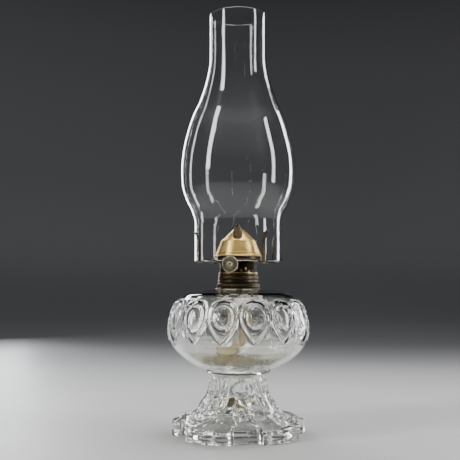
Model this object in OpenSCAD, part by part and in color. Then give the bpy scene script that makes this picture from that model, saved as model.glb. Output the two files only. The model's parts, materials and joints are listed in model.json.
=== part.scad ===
// Oil lamp: pressed glass stand lamp with a flat-wick prong burner and a bulged chimney.
// Origin: centre of the foot's resting face. +Z is up. The winding shaft runs along -Y.

/* [Foot] */
// Reach of the foot's five lobes from the axis
foot_lobe_reach = 57; // [56:0.5:59]
// Width of the notches between the lobes
foot_notch_w = 23; // [18:0.2:26]
// Distance from the axis to the floor of each notch
foot_facet = 47.5; // [46:0.5:48.5]
// Turn of the lobes and medallions about the axis, in degrees
foot_turn = 10; // [0:1:71]

/* [Font] */
// Wall thickness of the oil reservoir
font_wall = 4.2; // [3.6:0.1:4.6]
// Radius of the filling mouth
mouth_r = 14; // [14:0.1:14.4]

/* [Chimney] */
// Outer radius of the chimney's foot, a 3 inch fitter
fitter_r = 38.1; // [37.9:0.1:38.2]
// Wall thickness of the chimney
chimney_wall = 1.8; // [1.4:0.1:2]
// Outer radius of the chimney's neck
neck_r = 25.2; // [24.8:0.1:25.6]
// Height of the chimney's top edge above the table
lamp_h = 365; // [360:0.5:370]

/* [Burner] */
// Width of the flat wick, a 1 inch tape
wick_w = 25.4; // [24.4:0.1:25.6]
// Thickness of the flat wick
wick_t = 2.8; // [2.4:0.1:2.8]
// Height of the wick's burning edge, turned low
wick_top = 178.8; // [177.5:0.1:179]
// Height of the winding shaft
shaft_z = 143.6; // [143.4:0.1:143.8]
// Radius of the winding shaft
shaft_r = 1.1; // [1:0.05:1.1]
// Radius of the thumbwheel
thumbwheel_r = 6.7; // [5.5:0.1:7.5]
// Number of teeth on each sprocket
sprocket_teeth = 12; // [8:1:14]
// Angle of the first prong from the shaft, in degrees
prong_turn = 36; // [30:0.5:42]
// Width of each prong's strip
prong_w = 3.4; // [2.6:0.1:4]

/* [Hidden] */
$fn = 96;

sheet = 0.5;                 // thickness of the pressed brass
run_gap = 0.05;              // radial running clearance of the shaft
body_gap = 0.1;              // gap between faces that rest on each other and part

// Foot, font and collar
foot_h = 55.9;               // height of the foot up to the font
medallion_r = 6.8;
medallion_z = 39.8;
medallion_face = 25.4;       // distance of the medallions' faces from the axis
neck_glass_r = 16;           // outside of the glass neck
neck_top = 128.4;
cement_r = 17.2;             // outside of the plaster ring
shoulder_z = 123.4;          // top of the glass shoulder, where the collar sits
collar_r = 17.6;
collar_top = 136.8;
thread_r = 15.8;             // crest of the collar's inner thread
thread_depth = 0.5;
thread_pitch = 1.8;

// Screw shell and cup
shell_r = thread_r - 0.2;    // crest of the shell's thread
shell_bottom = 129.4;
shell_flange_z = collar_top + body_gap;
cup_floor = shell_flange_z + sheet + body_gap;
cup_r = 16.2;
plate_z = 147.5;             // underside of the gallery plate
diffuser_z = 138.6;

// Wick tube and winding gear
tube_gap = 0.3;              // play of the wick in its tube, at each edge
tube_in = [wick_t + 2 * tube_gap + 0.4, wick_w + 2 * tube_gap];
tube_out = tube_in + [2 * sheet, 2 * sheet];
tube_bottom = 126.3;
tube_top = 176.3;
vapour_x = 5.6;              // place, radius and ends of the vapour tube beside it
vapour_r = 1.6;
vapour_bottom = 130.3;
vapour_top = 155.3;
sprocket_gap = 0.1;
shaft_x = -4.5;
sprocket_r = -shaft_x - wick_t / 2 - sprocket_gap;
sprocket_t = 0.8;
sprocket_y = [-9, -3, 3, 9];
housing = [6, 25.8, 8];      // size outside, on the tube's flat side
thumbwheel_y = -44;
shaft_front = -45.2;
shaft_back = 14.2;
bushing_r = 1.8;

// Gallery, dome and prongs
plate_r = 33.4;
dome_seat_z = 151.8;
dome_edge_r = 14.8;          // where the dome's steep side meets its cone
dome_edge_z = 165;
dome_apex_z = 179.1;
slot = [8, 28.2];            // opening for the flame
rivet_r = 1;
rivet_at = 26.5;
prong_gap = 0.4;             // play between the prongs and the glass

// Chimney
chimney_bottom = 146.6;
fitter_top = 182;            // where the straight foot meets the bulge
neck_start = 332.3;

// Corner points [radius, height] of the turned outlines
foot_outline = [[foot_lobe_reach, 0], [foot_lobe_reach, 11], [foot_lobe_reach - 1.2, 12.2],
                [51, 13.6], [48.5, 14.8], [44, 15.8], [39.8, 17.6], [35.4, 21], [29.3, 28.6],
                [26, 33], [24.5, 38], [22.6, 44], [20.8, 48.9], [24, 50.7], [27.5, 51.5],
                [27.5, foot_h]];
foot_hollow = [[41, 0], [40, 6], [34, 14], [26, 21], [16, 27], [8, 31.5], [0, 33]];
font_points = [[31.9, foot_h], [34.8, 57.1], [40.5, 60], [48, 65.4], [54.3, 71.4], [58.9, 79.1],
               [60.6, 88.5], [59.6, 98.7], [56.4, 108.3], [51.7, 114.1], [45, 119.3],
               [39, 121.3], [32, 122.6], [25, 123.2], [18.4, shoulder_z]];
chimney_points = [[fitter_r, fitter_top], [40.6, 189.9], [44.6, 197.7], [47.6, 205.6], [49.4, 213.5],
                  [50, 229.2], [48.5, 244.4], [44.9, 260.1], [40, 275.5], [34.2, 288.1],
                  [30, 300.5], [27.2, 311.3], [neck_r + 0.4, 321.3], [neck_r, neck_start]];
// Stations of the wick's tail below the burner: [x, y, z, turn of the tape]
tail_stations = [[0, 0, tube_bottom, 0], [0.8, 0, 118.3, 8], [2.4, 0, 108.3, 22],
                 [3.2, 0, 97.3, 28], [2.8, -0.5, 86.3, 27], [1, -1, 76.3, 22],
                 [-3.4, -1.5, 68.8, 18], [-10, -2, 65.9, 16], [-17, -2.5, 65.5, 15]];

// A smooth curve through the points p, with n steps between neighbours
function blend_at(a, b, c, d, t) =
    0.5 * (2 * b + (c - a) * t + (2 * a - 5 * b + 4 * c - d) * t * t
           + (3 * b - a - 3 * c + d) * t * t * t);
function curve(p, n) = let (last = len(p) - 1)
    [for (i = [0:last - 1]) for (k = [0:n - 1])
        blend_at(p[max(i - 1, 0)], p[i], p[i + 1], p[min(i + 2, last)], k / n), p[last]];
// The points p moved sideways by t, to the left of the way they run
function beside(p, t) = let (last = len(p) - 1)
    [for (i = [0:last]) let (d = p[min(i + 1, last)] - p[max(i - 1, 0)])
        p[i] + t / norm(d) * [-d[1], d[0]]];
function reversed(p) = [for (i = [len(p) - 1:-1:0]) p[i]];
// A strip of thickness t on the left of the points p
function strip(p, t) = concat(p, reversed(beside(p, t)));

module turned(points) rotate_extrude() polygon(points);
module ring(r_out, r_in, z, h) {
    turned([[r_in, z], [r_out, z], [r_out, z + h], [r_in, z + h]]);
}
// A cylinder along Y, from y0 to y1, on the winding shaft's line
module along_shaft(r, y0, y1) {
    translate([shaft_x, y1, shaft_z]) rotate([90, 0, 0]) cylinder(r = r, h = y1 - y0);
}

module lobed_outline() difference() {
    circle(r = foot_lobe_reach);
    for (i = [0:4])
        rotate(72 * i) translate([-foot_notch_w / 2, -foot_facet - 20]) square([foot_notch_w, 20]);
}

module foot() {
    color([0.80, 0.84, 0.83, 0.5]) rotate(foot_turn) difference() {
        union() {
            intersection() {
                turned(concat([[0, 0]], foot_outline, [[0, foot_h]]));
                linear_extrude(foot_h) lobed_outline();
            }
            for (i = [0:4])
                rotate(72 * i) translate([0, 0, medallion_z]) rotate([90, 0, 0])
                    cylinder(r = medallion_r, h = medallion_face);
        }
        turned(concat([[0, -1], [41, -1]], foot_hollow));
    }
}

module font() {
    outer = curve(font_points, 3);
    inner = beside(outer, font_wall);
    clear_inner = [for (p = inner) if (p[0] > mouth_r + 2) p];
    color([0.80, 0.84, 0.82, 0.45]) turned(concat(
        [[0, foot_h]], outer, [[neck_glass_r, shoulder_z], [neck_glass_r, neck_top],
        [mouth_r, neck_top], [mouth_r, shoulder_z - font_wall]],
        reversed(clear_inner), [[0, foot_h + font_wall]]));
}

module collar_cement() {
    color([0.86, 0.82, 0.72]) ring(cement_r, neck_glass_r, shoulder_z, neck_top - shoulder_z);
}

module collar() {
    flange = 0.9;
    band = 4.2;
    groove = 0.5;
    thread_start = neck_top + 0.6;
    color([0.34, 0.29, 0.20]) difference() {
        turned([[cement_r, shoulder_z], [20, shoulder_z], [20, shoulder_z + flange],
                [18.5, shoulder_z + flange + 0.3], [18.5, shoulder_z + band],
                [collar_r - groove, shoulder_z + band + groove], [collar_r, neck_top + 1],
                [collar_r, collar_top - 2.4], [collar_r - groove, collar_top - 2],
                [collar_r - groove, collar_top - 1.4], [17, collar_top - 1], [17, collar_top],
                [thread_r, collar_top], [thread_r, neck_top], [cement_r, neck_top]]);
        for (z = [thread_start + thread_pitch / 2:thread_pitch:collar_top - thread_pitch / 2])
            turned([[thread_r - 1, z - thread_pitch / 3], [thread_r, z - thread_pitch / 3],
                    [thread_r + thread_depth, z], [thread_r, z + thread_pitch / 3],
                    [thread_r - 1, z + thread_pitch / 3]]);
    }
}

module screw_shell() {
    root_r = shell_r - thread_depth;
    bore_r = shell_r - 1;
    color([0.62, 0.50, 0.28]) {
        ring(root_r, bore_r, shell_bottom, shell_flange_z - shell_bottom);
        ring(17, bore_r, shell_flange_z, sheet);
        for (z = [shell_bottom + thread_pitch / 2:thread_pitch:shell_flange_z - thread_pitch / 2])
            turned([[root_r - 0.1, z - thread_pitch / 3], [root_r, z - thread_pitch / 3],
                    [shell_r, z], [root_r, z + thread_pitch / 3],
                    [root_r - 0.1, z + thread_pitch / 3]]);
    }
}

module tube_shape(extra) square(tube_out + [2 * extra, 2 * extra], center = true);

module draught_cup() {
    spigot_r = shell_r - 1 - body_gap;
    flange_r = 18.6;
    holes = 14;
    hole_r = 0.9;
    color([0.36, 0.30, 0.20]) difference() {
        turned([[0, cup_floor], [spigot_r - sheet, cup_floor], [spigot_r - sheet, cup_floor - 3],
                [spigot_r, cup_floor - 3], [spigot_r, cup_floor], [cup_r, cup_floor],
                [cup_r, plate_z - sheet], [flange_r, plate_z - sheet], [flange_r, plate_z],
                [cup_r - sheet, plate_z], [cup_r - sheet, cup_floor + sheet],
                [0, cup_floor + sheet]]);
        translate([0, 0, cup_floor - 1]) linear_extrude(sheet + 2) tube_shape(0);
        translate([vapour_x, 0, cup_floor - 1]) cylinder(r = vapour_r, h = sheet + 2);
        along_shaft(bushing_r, -cup_r - 2, 3 - cup_r);
        for (row = [0:1]) for (i = [0:holes - 1])
            rotate(360 / holes * (i + row / 2)) translate([0, 0, cup_floor + 1.6 + 1.9 * row])
                translate([cup_r - 2, 0, 0]) rotate([0, 90, 0]) cylinder(r = hole_r, h = 4);
    }
}

module air_diffuser() {
    color([0.66, 0.54, 0.30]) difference() {
        ring(cup_r - sheet - run_gap, 0, diffuser_z, sheet);
        translate([0, 0, diffuser_z - 1]) linear_extrude(sheet + 2) tube_shape(0);
        translate([vapour_x, 0, diffuser_z - 1]) cylinder(r = vapour_r, h = sheet + 2);
        for (side = [0, 180]) for (r = [9, 12.4]) for (a = [-50:20:50])
            rotate(side + a) translate([r, 0, diffuser_z - 1]) cylinder(r = 0.9, h = sheet + 2);
    }
}

module wick_tube() {
    tooth_gap = [4, sprocket_t + 0.8, 2 * sprocket_r + 1];
    color([0.78, 0.62, 0.30]) difference() {
        translate([0, 0, tube_bottom]) linear_extrude(tube_top - tube_bottom) difference() {
            tube_shape(0);
            square(tube_in, center = true);
        }
        for (y = sprocket_y) translate([-tube_out[0] / 2, y, shaft_z]) cube(tooth_gap, center = true);
    }
}

module vapour_tube() {
    color([0.72, 0.58, 0.30]) translate([vapour_x, 0, 0])
        ring(vapour_r, vapour_r - sheet, vapour_bottom, vapour_top - vapour_bottom);
}

module sprocket_housing() {
    wall = 0.4;
    color([0.70, 0.56, 0.30]) difference() {
        translate([-tube_out[0] / 2 - housing[0], -housing[1] / 2, shaft_z - housing[2] / 2])
            cube(housing);
        translate([-tube_out[0] / 2 - housing[0] + wall, wall - housing[1] / 2,
                   shaft_z - housing[2] / 2 + wall])
            cube(housing - [0, 2 * wall, 2 * wall]);
        along_shaft(shaft_r + run_gap, -housing[1], housing[1]);
    }
}

module shaft_bushing() {
    color([0.55, 0.45, 0.26]) difference() {
        along_shaft(bushing_r, -21, -14.6);
        along_shaft(shaft_r + run_gap, -22, -14);
    }
}

module gallery_plate() {
    step_r = 21.9;
    color([0.40, 0.34, 0.23]) difference() {
        union() {
            turned([[18.4, plate_z], [plate_r, plate_z], [plate_r, plate_z + 0.7],
                    [step_r, plate_z + 0.7], [step_r, dome_seat_z], [18.4, dome_seat_z],
                    [18.4, dome_seat_z - sheet], [step_r - sheet, dome_seat_z - sheet],
                    [step_r - sheet, plate_z + 0.7], [18.4, plate_z + 0.7]]);
            rotate_extrude() translate([plate_r, plate_z + 0.35]) circle(r = 0.8, $fn = 24);
        }
        for (i = [0:3]) rotate(prong_turn + 90 * i) translate([0, -rivet_at, plate_z - 1])
            cylinder(r = rivet_r, h = 3);
    }
}

// One spring prong: a strip under the plate, out below the glass and up outside it
module prong(i) {
    inner_r = fitter_r + prong_gap;
    under = plate_z - sheet;
    arm = chimney_bottom - body_gap - sheet;
    path = [[23.4, under], [30.6, under], [31.8, under - 0.3], [34, arm + 0.2], [35, arm],
            [inner_r - 0.4, arm], [inner_r + 0.3, arm + 0.3], [inner_r + sheet, arm + 1],
            [inner_r + sheet, 162.9], [inner_r + 0.9, 165.5], [inner_r + 2.2, 167.9],
            [inner_r + 4.2, 169.9], [inner_r + 6.4, 171.3]];
    color([0.42, 0.34, 0.20]) rotate(prong_turn + 90 * i - 90) difference() {
        translate([0, prong_w / 2, 0]) rotate([90, 0, 0])
            linear_extrude(prong_w) polygon(strip(path, sheet));
        translate([rivet_at, 0, plate_z - 2]) cylinder(r = rivet_r, h = 3);
    }
}
module prong_1() prong(0);
module prong_2() prong(1);
module prong_3() prong(2);
module prong_4() prong(3);

module prong_rivets() {
    head = 0.7;
    head_r = 1.6;
    color([0.70, 0.56, 0.30])
        for (i = [0:3]) rotate(prong_turn + 90 * i) translate([0, -rivet_at, 0]) {
            translate([0, 0, plate_z - sheet - head]) cylinder(r = head_r, h = head);
            translate([0, 0, plate_z - sheet]) cylinder(r = rivet_r, h = sheet + 0.7);
            translate([0, 0, plate_z + 0.7]) cylinder(r = head_r, h = head);
        }
}

module deflector_dome() {
    outer = [[21.6, dome_seat_z], [21.6, dome_seat_z + sheet], [19.9, dome_seat_z + sheet],
             [19.2, dome_seat_z + 1.2], [dome_edge_r, dome_edge_z], [0, dome_apex_z]];
    inner = [[0, dome_apex_z - 0.7], [dome_edge_r - 0.5, dome_edge_z - 0.4],
             [18.7, dome_seat_z + 1], [18.7, dome_seat_z]];
    color([0.82, 0.66, 0.30]) difference() {
        turned(concat(outer, inner));
        translate([-slot[0] / 2, -slot[1] / 2, dome_edge_z]) cube([slot[0], slot[1], 20]);
    }
}

module winding_shaft() color([0.55, 0.46, 0.28]) along_shaft(shaft_r, shaft_front, shaft_back);

module sprocket(i) {
    root = sprocket_r - 0.9;
    points = [for (k = [0:2 * sprocket_teeth - 1]) let (a = 180 / sprocket_teeth * k)
              (k % 2 == 0 ? sprocket_r : root) * [cos(a), sin(a)]];
    color([0.72, 0.58, 0.32]) translate([shaft_x, sprocket_y[i] + sprocket_t / 2, shaft_z])
        rotate([90, 0, 0]) linear_extrude(sprocket_t) difference() {
            polygon(points);
            circle(r = shaft_r);
        }
}
module sprocket_1() sprocket(0);
module sprocket_2() sprocket(1);
module sprocket_3() sprocket(2);
module sprocket_4() sprocket(3);

module thumbwheel() {
    web = 0.8;
    rim = 2;
    hub_r = 2.4;
    color([0.42, 0.37, 0.28]) difference() {
        union() {
            along_shaft(thumbwheel_r, thumbwheel_y - rim / 2, thumbwheel_y + rim / 2);
            along_shaft(hub_r, thumbwheel_y - rim / 2, thumbwheel_y + 3.4);
        }
        along_shaft(shaft_r, thumbwheel_y - 4, thumbwheel_y + 5);
        difference() {
            along_shaft(thumbwheel_r - 0.8, thumbwheel_y - rim, thumbwheel_y - web / 2);
            along_shaft(hub_r, thumbwheel_y - rim, thumbwheel_y - web / 2);
        }
    }
}

module shaft_rivet() {
    color([0.74, 0.66, 0.48]) translate([shaft_x, shaft_front, shaft_z]) rotate([90, 0, 0])
        rotate_extrude() polygon([[0, 0], [1.9, 0], [1.7, 0.5], [1.2, 0.9], [0.5, 1.1], [0, 1.1]]);
}

module wick() {
    color([0.90, 0.85, 0.68]) translate([-wick_t / 2, -wick_w / 2, tube_bottom])
        cube([wick_t, wick_w, wick_top - tube_bottom]);
}

// The tape below the tube, swept along its stations
module wick_tail() {
    st = curve(tail_stations, 3);
    last = len(st) - 1;
    function point(v) = [v[0], v[1], v[2]];
    function across(i) = [-sin(st[i][3]), cos(st[i][3]), 0];
    function along(i) = let (d = point(st[min(i + 1, last)]) - point(st[max(i - 1, 0)]))
        i == 0 ? [0, 0, -1] : d / norm(d);
    function facing(i) = let (n = cross(across(i), along(i))) n / norm(n);
    corners = [[-1, -1], [1, -1], [1, 1], [-1, 1]];
    points = [for (i = [0:last]) for (c = corners)
              point(st[i]) + across(i) * c[0] * wick_w / 2 + facing(i) * c[1] * wick_t / 2];
    sides = [for (i = [0:last - 1]) for (k = [0:3]) let (a = 4 * i + k, b = 4 * i + (k + 1) % 4)
             each [[a, b + 4, b], [a, a + 4, b + 4]]];
    ends = [[0, 1, 2], [0, 2, 3], [4 * last, 4 * last + 2, 4 * last + 1],
            [4 * last, 4 * last + 3, 4 * last + 2]];
    color([0.88, 0.82, 0.62]) polyhedron(points, concat(sides, ends));
}

module chimney() {
    bulb = curve(chimney_points, 3);
    inner = beside(bulb, chimney_wall);
    first_in = [fitter_r - chimney_wall, fitter_top + 0.4];
    inner_mid = [for (p = inner) if (p[1] > first_in[1] + 0.5 && p[1] < neck_start - 1) p];
    color([0.82, 0.88, 0.90, 0.35]) turned(concat(
        [[fitter_r - chimney_wall, chimney_bottom], [fitter_r, chimney_bottom]],
        bulb, [[neck_r, lamp_h], [neck_r - chimney_wall, lamp_h],
        [neck_r - chimney_wall, neck_start]], reversed(inner_mid), [first_in]));
}

foot();
font();
collar_cement();
collar();
screw_shell();
draught_cup();
air_diffuser();
wick_tube();
vapour_tube();
sprocket_housing();
shaft_bushing();
gallery_plate();
prong_1();
prong_2();
prong_3();
prong_4();
prong_rivets();
deflector_dome();
winding_shaft();
sprocket_1();
sprocket_2();
sprocket_3();
sprocket_4();
thumbwheel();
shaft_rivet();
wick();
wick_tail();
chimney();
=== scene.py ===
"""Looks of the oil lamp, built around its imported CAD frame.

Lengths inside the shape functions are millimetres and become metres when a mesh is made. Angles round
the lamp are measured from -Y, where the thumbwheel is, towards +X.
"""
import json
import math

import bmesh
import bpy
import numpy as np
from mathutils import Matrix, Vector, noise


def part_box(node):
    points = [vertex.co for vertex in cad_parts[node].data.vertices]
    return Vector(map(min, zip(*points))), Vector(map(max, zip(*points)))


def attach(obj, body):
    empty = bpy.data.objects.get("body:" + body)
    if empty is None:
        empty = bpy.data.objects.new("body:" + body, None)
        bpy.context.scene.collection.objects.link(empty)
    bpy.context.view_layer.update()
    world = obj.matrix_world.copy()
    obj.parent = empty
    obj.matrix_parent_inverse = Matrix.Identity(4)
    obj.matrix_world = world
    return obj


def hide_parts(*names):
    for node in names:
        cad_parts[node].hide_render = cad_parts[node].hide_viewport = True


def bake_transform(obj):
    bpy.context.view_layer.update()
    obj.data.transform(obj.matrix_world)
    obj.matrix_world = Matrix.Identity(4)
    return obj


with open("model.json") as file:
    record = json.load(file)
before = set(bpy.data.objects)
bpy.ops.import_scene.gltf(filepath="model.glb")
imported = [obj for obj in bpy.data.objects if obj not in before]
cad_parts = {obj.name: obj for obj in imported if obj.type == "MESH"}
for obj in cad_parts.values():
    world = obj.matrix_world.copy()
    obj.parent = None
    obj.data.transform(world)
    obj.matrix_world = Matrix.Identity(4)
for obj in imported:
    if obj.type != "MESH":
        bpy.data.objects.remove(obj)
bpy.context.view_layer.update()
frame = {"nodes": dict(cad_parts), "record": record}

MM = 0.001
TAU = 2 * math.pi
CAMERA_TURN = math.radians(3.5)      # how far the camera stands round from -Y
CAMERA_TILT = math.radians(4.25)     # how far it looks up from level
FITTER_R = 38.1                      # outside of the chimney's straight foot
NECK_R = 25.2                        # outside of the chimney's neck
PLATE_Z = 147.5                      # underside of the gallery plate
PRONG_SHEET = 0.5                    # thickness of a prong
PRONG_GAP = 0.4                      # play between a prong and the glass
PRONG_TURN = math.radians(36)        # where the first prong stands, from -Y


def box_mm(node):
    """Lowest and highest corner of a CAD node, in millimetres."""
    low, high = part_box(node)
    return np.array(low) / MM, np.array(high) / MM


# ---------------------------------------------------------------- shape helpers

def smoothstep(start, end, x):
    t = np.clip((x - start) / (end - start), 0, 1)
    return t * t * (3 - 2 * t)


def curve(points, steps):
    """A smooth curve through the points, with this many steps between neighbours."""
    p = np.array(points, float)
    last = len(p) - 1
    rows = []
    for i in range(last):
        a, b, c, d = p[max(i - 1, 0)], p[i], p[i + 1], p[min(i + 2, last)]
        for t in np.arange(steps) / steps:
            rows.append(0.5 * (2 * b + (c - a) * t + (2 * a - 5 * b + 4 * c - d) * t * t
                               + (3 * b - a - 3 * c + d) * t ** 3))
    return np.array(rows + [p[last]])


def evenly(points, spacing):
    """The same line with its points this far apart."""
    p = np.array(points, float)
    run = np.concatenate([[0], np.cumsum(np.linalg.norm(np.diff(p, axis=0), axis=1))])
    at = np.linspace(0, run[-1], max(2, int(run[-1] / spacing) + 1))
    return np.stack([np.interp(at, run, p[:, k]) for k in range(p.shape[1])], 1)


def normals(profile):
    """Unit normals of a line of (radius, height) points, to the right of the way it runs."""
    d = np.gradient(profile, axis=0)
    d /= np.linalg.norm(d, axis=1)[:, None]
    return np.stack([d[:, 1], -d[:, 0]], 1)


def arc(centre, radius, start, end, count=6):
    """Points on an arc, angles in degrees from +radius."""
    a = np.radians(np.linspace(start, end, count))
    return np.array(centre) + radius * np.stack([np.cos(a), np.sin(a)], 1)


def around(radius, height, angles):
    """Points of one ring: radius and height are numbers or arrays over the angles."""
    r = radius + 0 * angles
    return np.stack([r * np.sin(angles), -r * np.cos(angles), height + 0 * angles], 1)


def ring_mesh(name, rings, closed=False, sharp=40):
    """A mesh from rings of points, all of one length. A single point is a pole."""
    verts, starts, sizes = [], [], []
    for ring in rings:
        ring = np.atleast_2d(ring)
        starts.append(len(verts))
        sizes.append(len(ring))
        verts.extend((ring * MM).tolist())
    pairs = list(zip(range(len(rings) - 1), range(1, len(rings))))
    if closed:
        pairs.append((len(rings) - 1, 0))
    faces = []
    for i, j in pairs:
        n = max(sizes[i], sizes[j])
        for k in range(n):
            m = (k + 1) % n
            lower = [starts[i]] if sizes[i] == 1 else [starts[i] + k, starts[i] + m]
            upper = [starts[j]] if sizes[j] == 1 else [starts[j] + m, starts[j] + k]
            faces.append(lower + upper)
    return mesh_object(name, verts, faces, sharp)


def mesh_object(name, verts, faces, sharp=40):
    mesh = bpy.data.meshes.new(name)
    mesh.from_pydata(verts, [], faces)
    bm = bmesh.new()
    bm.from_mesh(mesh)
    bmesh.ops.recalc_face_normals(bm, faces=bm.faces)
    bm.to_mesh(mesh)
    bm.free()
    mesh.polygons.foreach_set("use_smooth", [True] * len(mesh.polygons))
    mesh.set_sharp_from_angle(angle=math.radians(sharp))
    obj = bpy.data.objects.new(name, mesh)
    bpy.context.scene.collection.objects.link(obj)
    return obj


def turned(name, profile, segments=160, closed=True, sharp=40):
    """A turned piece from its (radius, height) outline. Without closed, it runs from pole to pole."""
    angles = np.arange(segments) * TAU / segments
    rings = [around(r, z, angles) if r > 1e-6 else np.array([0, 0, z]) for r, z in profile]
    return ring_mesh(name, rings, closed, sharp)


def fit_out(obj, body, slot, *nodes):
    """The piece gets its material, rides on its body and stands for its CAD nodes."""
    obj.data.materials.append(MATERIALS[slot])
    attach(obj, body)
    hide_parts(*nodes)
    return obj


# ---------------------------------------------------------------- materials

class Shader:
    """A node material, built up a node at a time."""

    def __init__(self, name):
        self.material = bpy.data.materials.new(name)
        self.material.use_nodes = True
        self.tree = self.material.node_tree
        self.surface = self.tree.nodes["Principled BSDF"]

    def add(self, kind, inputs=None, **settings):
        node = self.tree.nodes.new(kind)
        for key, value in settings.items():
            setattr(node, key, value)
        for key, value in (inputs or {}).items():
            if isinstance(value, bpy.types.NodeSocket):
                self.tree.links.new(value, node.inputs[key])
            else:
                node.inputs[key].default_value = value
        return node

    def set(self, **values):
        for key, value in values.items():
            socket = self.surface.inputs[key.replace("_", " ")]
            if isinstance(value, bpy.types.NodeSocket):
                self.tree.links.new(value, socket)
            else:
                socket.default_value = value

    def place(self, scale=(1, 1, 1), coords="Object"):
        source = self.add("ShaderNodeTexCoord").outputs[coords]
        return self.add("ShaderNodeMapping", {"Vector": source, "Scale": scale}).outputs[0]

    def noise(self, scale, detail=3, roughness=0.5, where=None, distortion=0.0):
        where = where or self.place()
        return self.add("ShaderNodeTexNoise", {"Vector": where, "Scale": scale, "Detail": detail,
                                               "Roughness": roughness,
                                               "Distortion": distortion}).outputs["Fac"]

    def ramp(self, fac, stops):
        node = self.add("ShaderNodeValToRGB", {"Fac": fac})
        elements = node.color_ramp.elements
        while len(elements) < len(stops):
            elements.new(0.5)
        for element, (at, color) in zip(elements, stops):
            element.position = at
            element.color = (*color, 1)
        return node.outputs["Color"]

    def spread(self, value, low, high, start=0.0, end=1.0):
        """value, from start to end, spread over low to high."""
        return self.add("ShaderNodeMapRange", {"Value": value, "From Min": start, "From Max": end,
                                               "To Min": low, "To Max": high}).outputs[0]

    def mix(self, fac, a, b):
        node = self.add("ShaderNodeMix", data_type="RGBA")
        for socket, value in zip((node.inputs[0], node.inputs[6], node.inputs[7]), (fac, a, b)):
            if isinstance(value, bpy.types.NodeSocket):
                self.tree.links.new(value, socket)
            else:
                socket.default_value = value if socket.type == "VALUE" else (*value, 1)
        return node.outputs[2]

    def math(self, operation, a, b=0.0):
        return self.add("ShaderNodeMath", {0: a, 1: b}, operation=operation).outputs[0]

    def bump(self, height, distance, strength=1.0, normal=None):
        inputs = {"Height": height, "Distance": distance, "Strength": strength}
        if normal:
            inputs["Normal"] = normal
        return self.add("ShaderNodeBump", inputs).outputs["Normal"]


def glass(name, tint, wave, smudge, ior=1.5):
    """Clear glass with a faint wave in its surface and a trace of smudge."""
    s = Shader(name)
    swell = s.noise(38, 2, where=s.place((1, 1, 0.45)))
    fine = s.noise(420, 2)
    film = s.noise(26, 4, 0.6, distortion=0.6)
    s.set(Base_Color=(*tint, 1), Transmission_Weight=1.0, IOR=ior,
          Roughness=s.spread(film, 0.0, smudge, 0.5, 0.8),
          Normal=s.bump(swell, wave, 0.5, s.bump(fine, wave * 0.04, 0.3)))
    return s.material


def brass(name, bright, dull, dark, rough, patch=70, tarnish=0.5, grain=0.00002):
    """Brass with patches of tarnish, fine speckle and worn, brighter edges."""
    s = Shader(name)
    clouds = s.noise(patch, 5, 0.62, distortion=0.4)
    speckle = s.noise(1500, 2)
    metal = s.ramp(clouds, [(tarnish - 0.2, bright), (tarnish, dull), (tarnish + 0.2, dark)])
    edge = s.spread(s.add("ShaderNodeNewGeometry").outputs["Pointiness"], 0, 0.7, 0.52, 0.6)
    metal = s.mix(s.spread(speckle, 0, 0.55, 0.52, 0.75), metal, dark)
    metal = s.mix(edge, metal, bright)
    s.set(Base_Color=metal, Metallic=1.0, Roughness=s.spread(clouds, rough[0], rough[1], 0.3, 0.7),
          Normal=s.bump(speckle, grain, 0.6, s.bump(clouds, 0.00012, 0.35)))
    return s.material


def plaster_material():
    s = Shader("stained_plaster")
    grain = s.noise(700, 4)
    stain = s.noise(90, 3)
    s.set(Base_Color=s.ramp(stain, [(0.3, (0.72, 0.64, 0.48)), (0.7, (0.40, 0.29, 0.16))]),
          Roughness=0.9, Normal=s.bump(grain, 0.00015))
    return s.material


def wick_material(top_v):
    """Woven cotton tape: warp ribs along it, weft across, oil-yellowed, charred at the burning edge."""
    s = Shader("cotton_tape")
    uv = s.add("ShaderNodeUVMap", uv_map="tape").outputs[0]
    parts = s.add("ShaderNodeSeparateXYZ", {"Vector": uv})
    warp = s.math("SINE", s.math("MULTIPLY", parts.outputs[0], TAU / 0.0016))
    weft = s.math("SINE", s.math("MULTIPLY", parts.outputs[1], TAU / 0.0022))
    weave = s.math("MULTIPLY", warp, weft)
    fuzz = s.noise(900, 4, 0.7)
    soak = s.noise(60, 4, 0.6)
    cotton = s.ramp(soak, [(0.3, (0.86, 0.76, 0.52)), (0.5, (0.80, 0.64, 0.34)),
                           (0.72, (0.60, 0.42, 0.17))])
    # Darker brown in the low parts of the weave: painted shade between the threads.
    cotton = s.mix(s.spread(weave, 0.0, 0.35, -0.2, -1), cotton, (0.46, 0.33, 0.14))
    ragged = s.math("ADD", parts.outputs[1], s.spread(fuzz, -0.003, 0.003))
    soot = s.spread(ragged, 0.92, 0.0, top_v, top_v + 0.006)
    gold = s.spread(ragged, 0.8, 0.0, top_v, top_v + 0.02)
    cotton = s.mix(gold, cotton, (0.62, 0.38, 0.10))
    s.set(Base_Color=s.mix(soot, cotton, (0.035, 0.022, 0.012)), Roughness=0.92,
          Sheen_Weight=0.3, Sheen_Roughness=0.5,
          Normal=s.bump(weave, 0.00035, 0.8, s.bump(fuzz, 0.0002, 0.5)))
    return s.material


def residue_material():
    """Dried oil on the floor of the font: a thin amber stain."""
    s = Shader("oil_residue")
    runs = s.noise(55, 5, 0.6, distortion=1.0)
    s.set(Base_Color=s.ramp(runs, [(0.25, (0.99, 0.97, 0.88)), (0.5, (0.97, 0.90, 0.70)),
                                   (0.8, (0.88, 0.68, 0.38))]),
          Transmission_Weight=1.0, IOR=1.45, Roughness=s.spread(runs, 0.05, 0.22),
          Normal=s.bump(runs, 0.0004, 0.5))
    return s.material


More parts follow.
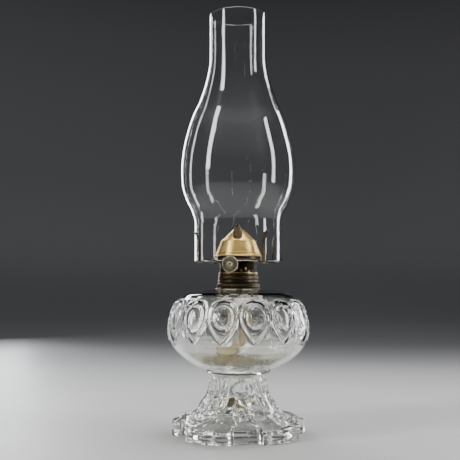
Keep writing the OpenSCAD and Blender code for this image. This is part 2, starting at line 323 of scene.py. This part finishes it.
MATERIALS = {
    "pressed_glass": glass("pressed_glass", (0.965, 0.975, 0.955), 0.00022, 0.05),
    "chimney_glass": glass("chimney_glass", (0.985, 0.995, 0.995), 0.00016, 0.03, 1.48),
    "plaster": plaster_material(),
    "aged_brass": brass("aged_brass", (0.19, 0.145, 0.08), (0.055, 0.041, 0.025), (0.014, 0.011, 0.008),
                        (0.32, 0.6), tarnish=0.46),
    # A near-black copy of the brass for the draught cup under the gallery plate: painted shade where the
    # plate shades it.
    "cup_brass_painted_shade": brass("cup_brass_painted_shade", (0.06, 0.045, 0.026), (0.018, 0.014, 0.009),
                       (0.007, 0.006, 0.005), (0.45, 0.75), tarnish=0.42),
    "burner_brass": brass("burner_brass", (0.72, 0.55, 0.27), (0.50, 0.36, 0.15),
                          (0.20, 0.13, 0.06), (0.25, 0.5)),
    "gilt_brass": brass("gilt_brass", (0.86, 0.62, 0.24), (0.74, 0.47, 0.14), (0.42, 0.23, 0.07),
                        (0.30, 0.52), patch=55, tarnish=0.54),
    "wheel_brass": brass("wheel_brass", (0.62, 0.56, 0.42), (0.36, 0.31, 0.21),
                         (0.16, 0.13, 0.08), (0.3, 0.55), patch=140),
}

# ---------------------------------------------------------------- chimney

WALL = 1.8


def build_chimney():
    low, high = box_mm("chimney")
    bottom, top = low[2], high[2]
    bulb = curve([[FITTER_R, 182], [40.6, 189.9], [44.6, 197.7], [47.6, 205.6], [49.4, 213.5],
                  [50, 229.2], [48.5, 244.4], [44.9, 260.1], [40, 275.5], [34.2, 288.1],
                  [30, 300.5], [27.2, 311.3], [NECK_R + 0.4, 321.3], [NECK_R, 332.3]], 8)
    fitter = evenly([[FITTER_R, bottom + 1], [FITTER_R, bulb[0][1] - 0.6]], 4)
    neck = evenly([[NECK_R, 333.3], [NECK_R + 0.05, top - 1]], 4)
    outer = np.concatenate([fitter, bulb, neck])
    inner = outer - WALL * normals(outer)
    lip = WALL / 2
    top_lip = arc([outer[-1][0] - lip, top - lip], lip, 20, 160, 7)
    bottom_lip = arc([FITTER_R - lip, bottom + lip], lip, 200, 340, 7)
    obj = turned("glass_chimney_shell", np.concatenate([outer, top_lip, inner[::-1], bottom_lip]), 192)
    return fit_out(obj, "glass_chimney", "chimney_glass", "chimney")


# ---------------------------------------------------------------- font

EYES = 14
EYE_STEP = TAU / EYES
EYE_PHASE = math.radians(16)         # where one bull's-eye stands
BELT_Z = 99.6                        # height of the belt of bull's-eyes


def eye_relief(along, angles, radius):
    """Height of the pressed pattern at a distance along the outline from the belt, in millimetres."""
    off = (angles - EYE_PHASE + EYE_STEP / 2) % EYE_STEP - EYE_STEP / 2
    x = off * radius
    y = along - 0.8
    ring = np.hypot(x / 7.6, y / 9.2)
    height = 1.15 * np.exp(-((ring - 1) / 0.15) ** 2) - 0.9 * (1 - smoothstep(0.1, 0.85, ring))
    height += 0.5 * np.exp(-(ring / 0.42) ** 2)
    rise, fall, half = 15.6, 21.5, 12.3
    if y >= 0:
        width = half * math.sqrt(max(0.0, 1 - (y / rise) ** 2))
    else:
        width = half * max(0.0, 1 - (-y / fall) ** 1.7)
    inside = smoothstep(-1, 1, width - np.abs(x))
    if -fall < y < rise:
        slope = 1.0 if y < 0 else max(0.35, width / half)
        height += 1.25 * np.exp(-((np.abs(x) - width) * slope / 1.25) ** 2)
        height -= 0.25 * inside
    elif y < rise + 2.5 and y > 0:
        cap = math.exp(-((y - rise) / 1.3) ** 2)
        height += 1.25 * cap * np.exp(-(x / 4.5) ** 2)
    between = np.abs(np.abs(off) * radius - EYE_STEP * radius / 2)
    valley = math.exp(-((along + 6) / 14) ** 2)
    return height - 0.55 * valley * np.exp(-(between / 0.8) ** 2)


def font_outline():
    """Outer and inner (radius, height) lines of the font."""
    floor = box_mm("font")[0][2]
    shoulder = 123.4
    outer = curve([[31.9, floor], [34.8, 57.1], [40.5, 60], [48, 65.4], [54.3, 71.4],
                   [58.9, 79.1], [60.6, 88.5], [59.6, 98.7], [56.4, 108.3], [51.7, 114.1],
                   [45, 119.3], [39, 121.3], [32, 122.6], [25, 123.2], [18.4, shoulder]], 10)
    outer = evenly(outer, 0.55)
    inner = outer - 4.2 * normals(outer)
    inner = inner[inner[:, 0] > 16.5]
    return outer, evenly(inner, 2.0)


def build_font():
    segments = EYES * 44
    angles = np.arange(segments) * TAU / segments
    outer, inner = font_outline()
    out = normals(outer)
    run = np.concatenate([[0], np.cumsum(np.linalg.norm(np.diff(outer, axis=0), axis=1))])
    belt = run[np.argmin(np.abs(outer[:, 1] - BELT_Z))]
    floor = outer[0][1]
    neck_top = box_mm("font")[1][2]
    rings = [np.array([0, 0, floor])] + [around(r, floor, angles) for r in (12, 22, 29)]
    deepest = 0.35                    # the ridges stand this much inside the outline's own size
    for (r, z), (nr, nz), s in zip(outer, out, run):
        lift = eye_relief(s - belt, angles, r)
        lift = (lift - deepest - 0.3) if abs(s - belt) < 26 else np.zeros(segments) - 0.3
        fade = smoothstep(26, 21, abs(s - belt))
        lift = lift * fade - 0.3 * (1 - fade)
        rings.append(around(r + lift * nr, z + lift * nz, angles))
    neck = [[16.6, 123.8], [16, 124.7], [16, neck_top - 0.6], [15.6, neck_top], [14.5, neck_top],
            [14, neck_top - 0.6], [14, 121.4], [14.8, 119.5]]
    rings += [around(r, z, angles) for r, z in neck]
    rings += [around(r, z, angles) for r, z in inner[::-1]]
    low = inner[0][1]
    rings += [around(r, low - 0.1, angles) for r in (24, 12)] + [np.array([0, 0, low - 0.2])]
    return fit_out(ring_mesh("glass_font", rings, sharp=60), "lamp_base", "pressed_glass", "font")


def build_residue():
    """A thin amber stain on the font's floor, thicker on one side."""
    inner = font_outline()[1]
    floor_part = inner[inner[:, 1] < 77]
    line = np.concatenate([[[8, inner[0][1] - 0.1], [18, inner[0][1] - 0.1]], floor_part])
    inward = -normals(line)
    segments = 120
    angles = np.arange(segments) * TAU / segments
    reach = np.array([0.5 + 0.26 * math.cos(a) + 0.09 * noise.noise((3 * math.sin(a), 3 * math.cos(a), 1))
                      for a in angles])
    lower, upper = [], []
    count = len(line)
    for k in range(count):
        share = k / (count - 1)
        at = share * reach * (count - 1)
        r = np.interp(at, range(count), line[:, 0])
        z = np.interp(at, range(count), line[:, 1])
        nr = np.interp(at, range(count), inward[:, 0])
        nz = np.interp(at, range(count), inward[:, 1])
        thick = 0.12 + 0.4 * (1 - share ** 2)
        lower.append(around(r + 0.06 * nr, z + 0.06 * nz, angles))
        upper.append(around(r + thick * nr, z + thick * nz, angles))
    z0 = line[0][1]
    rings = [np.array([0, 0, z0 + 0.06])] + lower + upper[::-1] + [np.array([0, 0, z0 + 0.8])]
    obj = ring_mesh("oil_residue", rings)
    obj.data.materials.append(residue_material())
    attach(obj, "lamp_base")
    return obj


# ---------------------------------------------------------------- foot

FOOT_TURN = math.radians(10)         # where one medallion and its notch stand
LOBE_REACH, FACET = 57, 47.5
PLINTH_TOP = 12.2


def foot_rim(from_notch):
    """Radius of the plinth, by the angle in degrees from the middle of the nearest notch."""
    notch = FACET / np.cos(np.radians(np.minimum(np.abs(from_notch), 14)))
    lobe = LOBE_REACH - 1.6 * smoothstep(17, 12.5, np.abs(from_notch))
    return notch + (lobe - notch) * smoothstep(11.6, 13.8, np.abs(from_notch))


def build_foot():
    segments = 1080
    angles = np.arange(segments) * TAU / segments
    fifth = TAU / 5
    off = np.degrees((angles - FOOT_TURN + fifth / 2) % fifth - fifth / 2)
    from_lobe = np.radians(36 - np.abs(off)) * np.sign(off + 1e-9)
    rim = foot_rim(off)
    lobed = smoothstep(7, 15, np.abs(off))
    top = box_mm("foot")[1][2]
    rings = [around(rim - 2.2, 0.0, angles), around(rim - 0.8, 0.25, angles), around(rim, 1.1, angles)]
    rings += [around(rim, z, angles) for z in np.arange(2.2, PLINTH_TOP - 1.4, 1.5)]
    rings += [around(rim, PLINTH_TOP - 1.2, angles), around(rim - 0.3, PLINTH_TOP - 0.5, angles),
              around(rim - 1.1, PLINTH_TOP, angles)]
    rib = evenly(curve([[LOBE_REACH - 2.4, PLINTH_TOP + 0.2], [51, 13.8], [48.5, 15], [44, 16],
                        [39.8, 18], [35.4, 21.4], [29.3, 29], [26, 34], [24.4, 39],
                        [22.6, 44], [20.8, 48.9]], 6), 0.6)
    valley = curve([[FACET - 2, PLINTH_TOP + 0.5], [43, 13.4], [40.9, 14.3], [37.4, 15.8],
                    [34.8, 19], [31.3, 22], [26.9, 27.6], [25.2, 33], [23.5, 38],
                    [21.8, 44], [20.8, 48.9]], 8)
    share = np.linspace(0, 1, len(rib))
    low_part = np.stack([np.interp(share, np.linspace(0, 1, len(valley)), valley[:, k])
                         for k in (0, 1)], 1)
    for (rr, rz), (vr, vz), u in zip(rib, low_part, share):
        r = vr + (rr - vr) * lobed
        z = vz + (rz - vz) * lobed
        r = np.minimum(r, rim - 1.1 - 1.2 * u)
        # Fan flutes spread over each lobe from the foot of its pillar
        side, out = r * np.sin(from_lobe), r * np.cos(from_lobe) - 33
        fan = np.arctan2(side, np.maximum(out, 0.5))
        flutes = np.abs(np.cos(fan * 7.5)) * smoothstep(2, 9, out) * smoothstep(1.25, 0.95, np.abs(fan))
        z = z + 0.9 * flutes * lobed * smoothstep(0.02, 0.12, u)
        # The pillar above the fan: a ridge with an edge on each side
        climb = smoothstep(0.42, 0.5, u) * smoothstep(1.0, 0.92, u)
        ridge = (np.exp(-((np.abs(side) - 3.6) / 0.8) ** 2) + 0.35 * np.exp(-(side / 1.6) ** 2)) * climb
        r = r + 1.5 * ridge
        z = z + 0.5 * ridge
        # Beads and scallops that border the valley between two lobes
        across = r * np.sin(np.radians(off))
        for bead_r, bead_x, size in ((40, 0, 2.6), (36, 5.2, 2.1), (32.5, 0, 1.9), (40.5, 8, 1.8),
                                     (31.5, 6.8, 1.6)):
            far = np.hypot(r - bead_r, np.abs(across) - bead_x)
            z = z + 1.25 * np.exp(-(far / size) ** 4) - 0.4 * np.exp(-((far - size * 1.3) / 0.7) ** 2)
        # The medallion stands out of the neck as an upright disc with a raised edge
        face_r, face_z, disc = 25.2, 39.8, 6.9
        far = np.hypot(across, z - face_z)
        disc_r = face_r + 0.5 * np.exp(-((far - 5.9) / 0.7) ** 2) - 1.0 * (1 - smoothstep(1, 5, far))
        disc_r = disc_r + 0.7 * np.exp(-(far / 1.9) ** 2)
        stand = (np.maximum(disc_r, r) - r) * smoothstep(disc + 0.8, disc - 0.2, far)
        r = np.where(far < disc + 1, r + stand, r)
        rings.append(around(r, z, angles))
    for r, z in [[21.6, 49.7], [24.2, 50.9], [26.8, 51.4], [27.5, 52.2], [27.5, top - 0.4],
                 [27.2, top + 0.15]]:
        rings.append(around(r, z, angles))
    rings += [around(14, top + 0.15, angles), np.array([0, 0, top + 0.15])]
    hollow = evenly(curve([[0, 33], [8, 31.5], [16, 27], [26, 21], [34, 14], [40, 6], [41, 0.9]], 4), 2)
    rings = rings + [np.array([0, 0, hollow[0][1]])] + [around(r, z, angles) for r, z in hollow[1:]]
    rings.append(around(42, 0.1, angles))
    # The outer skin runs up to its pole, and the hollow down from its own: two sheets joined at the rim
    split = next(k for k, ring in enumerate(rings) if ring.ndim == 1)
    outer, inner = rings[:split + 1], rings[split + 1:]
    obj = ring_mesh("glass_foot", inner + outer, sharp=50)
    return fit_out(obj, "lamp_base", "pressed_glass", "foot")


# ---------------------------------------------------------------- collar and burner

def build_collar():
    low, high = box_mm("collar")
    z0, z1 = low[2], high[2]
    glass_top = box_mm("font")[1][2]
    segments = 960
    angles = np.arange(segments) * TAU / segments
    outline = [[17.2, z0], [19.6, z0], [20, z0 + 0.35], [19.7, z0 + 0.8], [18.9, z0 + 1.1],
               [18.3, z0 + 1.4], [18.4, z0 + 1.8], [18.4, z0 + 3.9], [18.2, z0 + 4.4],
               [17.3, z0 + 4.9], [17.1, z0 + 5.3], [17.5, z0 + 5.8], [17.8, z0 + 6.3],
               [17.7, z0 + 7.0], [17.2, z0 + 7.5], [17.2, z0 + 7.9], [17.6, z0 + 8.3],
               [17.6, z1 - 2.5], [17.4, z1 - 2.1], [16.9, z1 - 1.8], [16.9, z1 - 1.5],
               [17.0, z1 - 1.1], [17.1, z1 - 0.7], [16.9, z1 - 0.2], [16.6, z1],
               [15.9, z1], [15.8, z1 - 0.2], [15.8, glass_top + 0.1], [17.2, glass_top]]
    knurl = 0.22 * np.abs(np.sin(angles * 60))
    rings = []
    for r, z in outline:
        banded = 1.0 if z0 + 1.7 < z < z0 + 4.0 and r > 18 else 0.0
        rings.append(around(r - 0.1 * banded + knurl * banded, z, angles))
    obj = ring_mesh("threaded_collar", rings, closed=True, sharp=50)
    return fit_out(obj, "lamp_base", "aged_brass", "collar")


def build_gallery():
    plate, seat = PLATE_Z, box_mm("gallery_plate")[1][2]
    rim = 33.4
    roll = arc([rim, plate + 0.35], 0.8, -150, 150, 12)
    outline = np.concatenate([
        [[18.4, plate], [20, plate], [30.6, plate], [31.2, plate - 0.05], [rim - 0.7, plate - 0.05]],
        roll, [[rim - 0.7, plate + 0.75], [31.2, plate + 0.75], [30.8, plate + 0.7],
               [24.6, plate + 0.7], [24, plate + 0.95], [23.2, plate + 0.95], [22.6, plate + 0.7],
               [22.1, plate + 0.9], [21.9, plate + 1.4], [21.9, seat - 0.3], [21.6, seat],
               [18.4, seat], [18.4, seat - 0.5], [21.3, seat - 0.5], [21.4, seat - 0.8],
               [21.4, plate + 0.7], [18.4, plate + 0.7]]])
    obj = turned("prong_gallery", outline, 240)
    return fit_out(obj, "burner", "aged_brass", "gallery_plate")


def build_dome():
    seat, apex = box_mm("deflector_dome")[0][2], 179.1
    edge_r, edge_z = 14.8, 165.0
    outer = np.concatenate([
        [[21.3, seat], [21.6, seat + 0.25], [21.3, seat + 0.55], [20.2, seat + 0.6],
         [19.9, seat + 1.2], [19.3, seat + 1.5], [19.1, seat + 2.1], [19.3, seat + 2.5],
         [19.0, seat + 3.0]],
        evenly([[18.7, seat + 3.6], [edge_r + 0.35, edge_z - 0.9]], 1.2),
        [[edge_r + 0.3, edge_z - 0.3], [edge_r, edge_z + 0.1]],
        evenly([[edge_r - 0.5, edge_z + 0.6], [0.8, apex - 0.8]], 0.8), [[0, apex - 0.5]]])
    inner = outer[::-1][1:] - [0.5, 0.0]
    inner = inner[(inner[:, 0] > 0.4) & (inner[:, 1] > seat + 1.0)]
    inner[:, 1] -= np.where(inner[:, 1] > edge_z, 0.3, 0.0)
    profile = np.concatenate([outer, [[0, apex - 1.3]], inner, [[18.9, seat + 0.6], [18.7, seat]]])
    segments = 200
    angles = np.arange(segments) * TAU / segments
    rings = [around(r, z, angles) if r > 1e-6 else np.array([0, 0, z]) for r, z in profile]
    pole = next(k for k, ring in enumerate(rings) if ring.ndim == 1)
    obj = ring_mesh("flame_dome", rings[pole + 1:] + rings[:pole + 1], sharp=35)
    half_x, half_y, z0 = 4.0, 14.1, edge_z
    cutter_top = apex + 9
    corner = 3.9
    outline = []
    for sx, sy, start in ((1, 1, 0), (-1, 1, 90), (-1, -1, 180), (1, -1, 270)):
        centre = [(half_x - corner) * sx, (half_y - corner) * sy]
        outline += arc(centre, corner, start, start + 90, 7).tolist()
    ends = []
    for z in (z0, cutter_top):
        ends.append(np.array([[x, y, z] for x, y in outline]))
    rings = [np.array([0, 0, z0])] + ends + [np.array([0, 0, cutter_top])]
    cutter = ring_mesh("slot_cutter", rings)
    cut = obj.modifiers.new("slot", "BOOLEAN")
    cut.object, cut.operation, cut.solver = cutter, "DIFFERENCE", "EXACT"
    apply_modifiers(obj)
    bpy.data.objects.remove(cutter)
    obj.data.set_sharp_from_angle(angle=math.radians(35))
    return fit_out(obj, "burner", "gilt_brass", "deflector_dome")


def apply_modifiers(obj):
    """The object's mesh becomes what its modifiers show, and they are removed."""
    graph = bpy.context.evaluated_depsgraph_get()
    mesh = bpy.data.meshes.new_from_object(obj.evaluated_get(graph))
    obj.modifiers.clear()
    old, obj.data = obj.data, mesh
    bpy.data.meshes.remove(old)


def band_mesh(name, centre, across, facing, widths, thickness, edge=6):
    """A flat band swept along its centre line, with rounded sides. All arguments have a row a station."""
    rings = []
    for c, a, f, w, t in zip(centre, across, facing, widths, thickness):
        half, r = w / 2, t / 2
        loop = []
        for side in (1, -1):
            for angle in np.radians(np.linspace(-90, 90, edge)):
                loop.append(c + side * (a * (half - r + r * math.cos(angle)) + f * r * math.sin(angle)))
        rings.append(np.array(loop))
    ends = [rings[0].mean(0), rings[-1].mean(0)]
    return ring_mesh(name, [ends[0]] + rings + [ends[1]], sharp=60)


def build_prong(index):
    """A spring prong: riveted under the gallery, out below the glass, up outside it, its tip turned out."""
    glass_r = FITTER_R + PRONG_GAP
    under = PLATE_Z - PRONG_SHEET / 2
    arm = box_mm("chimney")[0][2] - 0.1 - PRONG_SHEET / 2
    path = curve([[23.6, under], [27, under], [30.4, under], [32.2, under - 0.35], [34.2, arm + 0.1],
                  [36, arm], [glass_r - 0.6, arm + 0.05], [glass_r + 0.15, arm + 0.5],
                  [glass_r + 0.3, arm + 1.4], [glass_r + 0.25, 152], [glass_r + 0.25, 158],
                  [glass_r + 0.25, 162.3], [glass_r + 0.7, 165.1], [glass_r + 1.9, 167.7],
                  [glass_r + 3.8, 169.9], [glass_r + 6.0, 171.2]], 5)
    path = evenly(path, 0.5)
    run = np.linspace(0, 1, len(path))
    angle = PRONG_TURN + index * TAU / 4
    outward = np.array([math.sin(angle), -math.cos(angle), 0])
    side = np.array([math.cos(angle), math.sin(angle), 0])
    up = np.array([0, 0, 1])
    n = normals(path)
    centre = [outward * r + up * z for r, z in path]
    facing = [outward * a + up * b for a, b in n]
    root = 3.4 + 2.2 * smoothstep(0.17, 0.05, run)
    tip = 1.1 * smoothstep(0.8, 0.93, run)
    end = np.sqrt(np.clip(1 - (np.maximum(0, run - 0.955) / 0.046) ** 2, 0.02, 1))
    widths = (root + tip) * end
    obj = band_mesh(f"chimney_prong_{index + 1}", centre, [side] * len(path), facing, widths,
                    [PRONG_SHEET] * len(path))
    return fit_out(obj, "burner", "aged_brass", f"prong_{index + 1}")


def build_thumbwheel():
    """The wheel with its knurled rim and dished face, turned about the winding shaft."""
    low, high = box_mm("thumbwheel")
    x, z = (low[0] + high[0]) / 2, (low[2] + high[2]) / 2
    radius = (high[0] - low[0]) / 2
    front = low[1]
    outline = [[1.1, 0.2], [2.2, 0.0], [2.5, 0.3], [2.6, 0.75], [3.2, 0.95], [4.6, 0.85],
               [5.6, 0.7], [5.9, 0.25], [6.2, 0.0], [radius - 0.2, 0.15], [radius, 0.45],
               [radius, 1.0], [radius, 1.55], [radius - 0.2, 1.85], [6.1, 2.0], [5.8, 1.6],
               [5.0, 1.45], [3.0, 1.45], [2.5, 1.7], [2.3, 2.2], [2.2, 4.4], [1.1, 4.4]]
    segments = 432
    angles = np.arange(segments) * TAU / segments
    knurl = 0.16 * (0.5 + 0.5 * np.cos(angles * 72))
    rings = []
    for r, depth in outline:
        rr = r - knurl * (1.0 if r > radius - 0.3 else 0.0)
        rings.append(np.stack([x + rr * np.cos(angles), front + depth + 0 * angles,
                               z + rr * np.sin(angles)], 1))
    obj = ring_mesh("winding_wheel", rings, closed=True, sharp=45)
    fit_out(obj, "winder", "wheel_brass", "thumbwheel")
    # The end of the shaft, spread into a hollow rivet
    low, high = box_mm("shaft_rivet")
    face = high[1]
    outline = [[0.0, -0.15], [0.9, -0.15], [1.05, -0.35], [1.1, -0.9], [1.4, -1.1], [1.75, -0.9],
               [1.9, -0.4], [1.9, 0.0], [0.0, 0.0]]
    rings = []
    for r, depth in outline:
        ring = np.stack([x + r * np.cos(angles[::6]), face + depth + 0 * angles[::6],
                         z + r * np.sin(angles[::6])], 1)
        rings.append(ring if r > 0 else ring[0])
    obj = ring_mesh("shaft_end_rivet", rings, sharp=45)
    return fit_out(obj, "winder", "wheel_brass", "shaft_rivet")


def build_wick():
    """The woven tape: flat through the tube, then hanging, turning and curling up in the font."""
    low, high = box_mm("wick")
    width, thick, top = high[1] - low[1], high[0] - low[0], high[2]
    tube_end = low[2]
    stations = curve([[0, 0, top, 0], [0, 0, 157, 0], [0, 0, 137, 0], [0, 0, tube_end, 0],
                      [0.8, 0, 118.3, 8], [2.4, 0, 108.3, 22], [3.2, 0, 97.3, 28], [2.8, -0.5, 86.3, 27],
                      [1, -1, 76.3, 22], [-3.4, -1.5, 68.8, 18], [-10, -2, 65.9, 16],
                      [-17, -2.5, 65.5, 15]], 14)
    stations = evenly(stations, 0.7)
    centre = stations[:, :3].copy()
    turn = np.radians(stations[:, 3])
    ahead = np.gradient(centre, axis=0)
    ahead /= np.linalg.norm(ahead, axis=1)[:, None]
    ahead[centre[:, 2] > tube_end] = [0, 0, -1]
    across = np.stack([-np.sin(turn), np.cos(turn), 0 * turn], 1)
    facing = np.cross(across, ahead)
    facing /= np.linalg.norm(facing, axis=1)[:, None]
    run = np.concatenate([[0], np.cumsum(np.linalg.norm(np.diff(centre, axis=0), axis=1))])
    loose = smoothstep(tube_end - 4, tube_end - 16, centre[:, 2])
    columns = 25
    rings, uvs = [], []
    for c, a, f, s, free in zip(centre, across, facing, run, loose):
        loop, loop_uv = [], []
        for side in (1, -1):
            for k in range(columns):
                u = side * (1 - 2 * k / (columns - 1))
                edge = math.sqrt(max(0.0, 1 - max(0.0, (abs(u) - 0.93) / 0.07) ** 2))
                ripple = free * 0.55 * noise.noise((u * 2.2, s * 0.11, 0.5))
                cup = free * 0.9 * (u * u - 0.4)
                rise = side * thick / 2 * max(edge, 0.15) + ripple + cup
                fray = 0.35 * noise.noise((u * 9, 3.1, 0)) if s < 0.6 else 0.0
                loop.append(c + a * u * (width / 2) + f * rise + np.array([0, 0, fray]))
                loop_uv.append((u * width / 2, s))
        rings.append(np.array(loop))
        uvs.append(loop_uv)
    caps = [rings[0].mean(0), rings[-1].mean(0)]
    obj = ring_mesh("cotton_wick", [caps[0]] + rings + [caps[1]], sharp=70)
    flat_uv = [(0.0, 0.0)] + [uv for row in uvs for uv in row] + [(0.0, run[-1])]
    layer = obj.data.uv_layers.new(name="tape")
    index = np.zeros(len(obj.data.loops), int)
    obj.data.loops.foreach_get("vertex_index", index)
    layer.data.foreach_set("uv", (np.array(flat_uv)[index] * MM).ravel())
    obj.data.materials.append(wick_material(0.0))
    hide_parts("wick", "wick_tail")
    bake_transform(obj)
    return obj


def dress_cad_nodes():
    """The pieces whose CAD shape is right keep it and get their material."""
    slot_of = {p["node"]: p["material_slot"] for p in frame["record"]["subparts"]}
    for name, obj in frame["nodes"].items():
        if obj.hide_render:
            continue
        # The draught cup gets the near-black brass copy instead of its own slot: painted shade under the
        # gallery plate.
        material = MATERIALS["cup_brass_painted_shade" if name == "draught_cup" else slot_of[name]]
        obj.data.materials.clear()
        obj.data.materials.append(material)


# ---------------------------------------------------------------- stage, lights and camera

def build_stage():
    """A pale floor that rises into a sweep all round. Its colour grades from pale grey to near black with
    distance from the lamp, a painted fall-off of the light.
    """
    line = evenly(curve([[500, 0], [900, 0], [1150, 40], [1330, 220], [1400, 600], [1420, 1500]], 8), 40)
    profile = np.concatenate([[[0, 0], [60, 0], [200, 0]], line])
    obj = turned("studio_sweep", profile, 96, closed=False, sharp=180)
    s = Shader("studio_paper")
    parts = s.add("ShaderNodeSeparateXYZ", {"Vector": s.place()})
    flat = s.math("SQRT", s.math("ADD", s.math("POWER", parts.outputs[0], 2.0),
                                 s.math("POWER", parts.outputs[1], 2.0)))
    # The colour darkens with distance from the middle: painted shade for the light falling off toward the
    # back of the sweep.
    s.set(Base_Color=s.ramp(s.spread(flat, 0, 1, 0.3, 1.4),
                            [(0.0, (0.46, 0.46, 0.455)), (0.45, (0.20, 0.20, 0.205)),
                             (0.8, (0.055, 0.056, 0.06)), (1.0, (0.035, 0.036, 0.04))]),
          Roughness=0.55, Specular_IOR_Level=0.3,
          Normal=s.bump(s.noise(900, 2), 0.00005, 0.3))
    obj.data.materials.append(s.material)


def add_light(name, place, size, power, color=(1, 1, 1), aim=(0, 0, 0.2)):
    light = bpy.data.lights.new(name, "AREA")
    light.shape = "RECTANGLE"
    light.size, light.size_y = size
    light.energy = power
    light.color = color
    obj = bpy.data.objects.new(name, light)
    obj.location = place
    obj.rotation_euler = (Vector(aim) - Vector(place)).to_track_quat("-Z", "Y").to_euler()
    obj.visible_camera = False
    bpy.context.scene.collection.objects.link(obj)


def build_lights():
    add_light("key_window", (-0.85, -0.55, 0.75), (0.16, 0.95), 12, (1.0, 0.985, 0.96))
    add_light("fill_window", (0.95, -0.25, 0.5), (0.12, 0.9), 8, (0.95, 0.98, 1.0))
    add_light("top_panel", (0.1, 0.15, 1.25), (0.9, 0.7), 14)
    add_light("back_strip", (-0.5, 0.85, 0.45), (0.12, 0.8), 6, (0.95, 0.98, 1.0))
    add_light("right_strip", (0.75, 0.65, 0.4), (0.12, 0.8), 6)
    world = bpy.data.worlds.new("studio")
    world.use_nodes = True
    world.node_tree.nodes["Background"].inputs["Color"].default_value = (0.09, 0.092, 0.1, 1)
    world.node_tree.nodes["Background"].inputs["Strength"].default_value = 0.6
    bpy.context.scene.world = world


def build_camera():
    distance, height, side = 0.684, 0.1238, -0.0072
    forward = Vector((-math.sin(CAMERA_TURN), math.cos(CAMERA_TURN), 0))
    right = Vector((math.cos(CAMERA_TURN), math.sin(CAMERA_TURN), 0))
    data = bpy.data.cameras.new("camera")
    data.sensor_width = 36
    data.lens = 61.67
    data.clip_start = 0.01
    camera = bpy.data.objects.new("camera", data)
    camera.location = -forward * distance + right * side + Vector((0, 0, height))
    camera.rotation_euler = (math.radians(90) + CAMERA_TILT, 0, CAMERA_TURN)
    bpy.context.scene.collection.objects.link(camera)
    bpy.context.scene.camera = camera


def set_glass_depth():
    cycles = bpy.context.scene.cycles
    cycles.max_bounces = 24
    cycles.transmission_bounces = 24
    cycles.glossy_bounces = 8
    cycles.transparent_max_bounces = 16


build_camera()
build_stage()
build_lights()
set_glass_depth()
build_chimney()
build_font()
build_residue()
build_foot()
build_collar()
build_gallery()
build_dome()
for prong_index in range(4):
    build_prong(prong_index)
build_thumbwheel()
build_wick()
dress_cad_nodes()
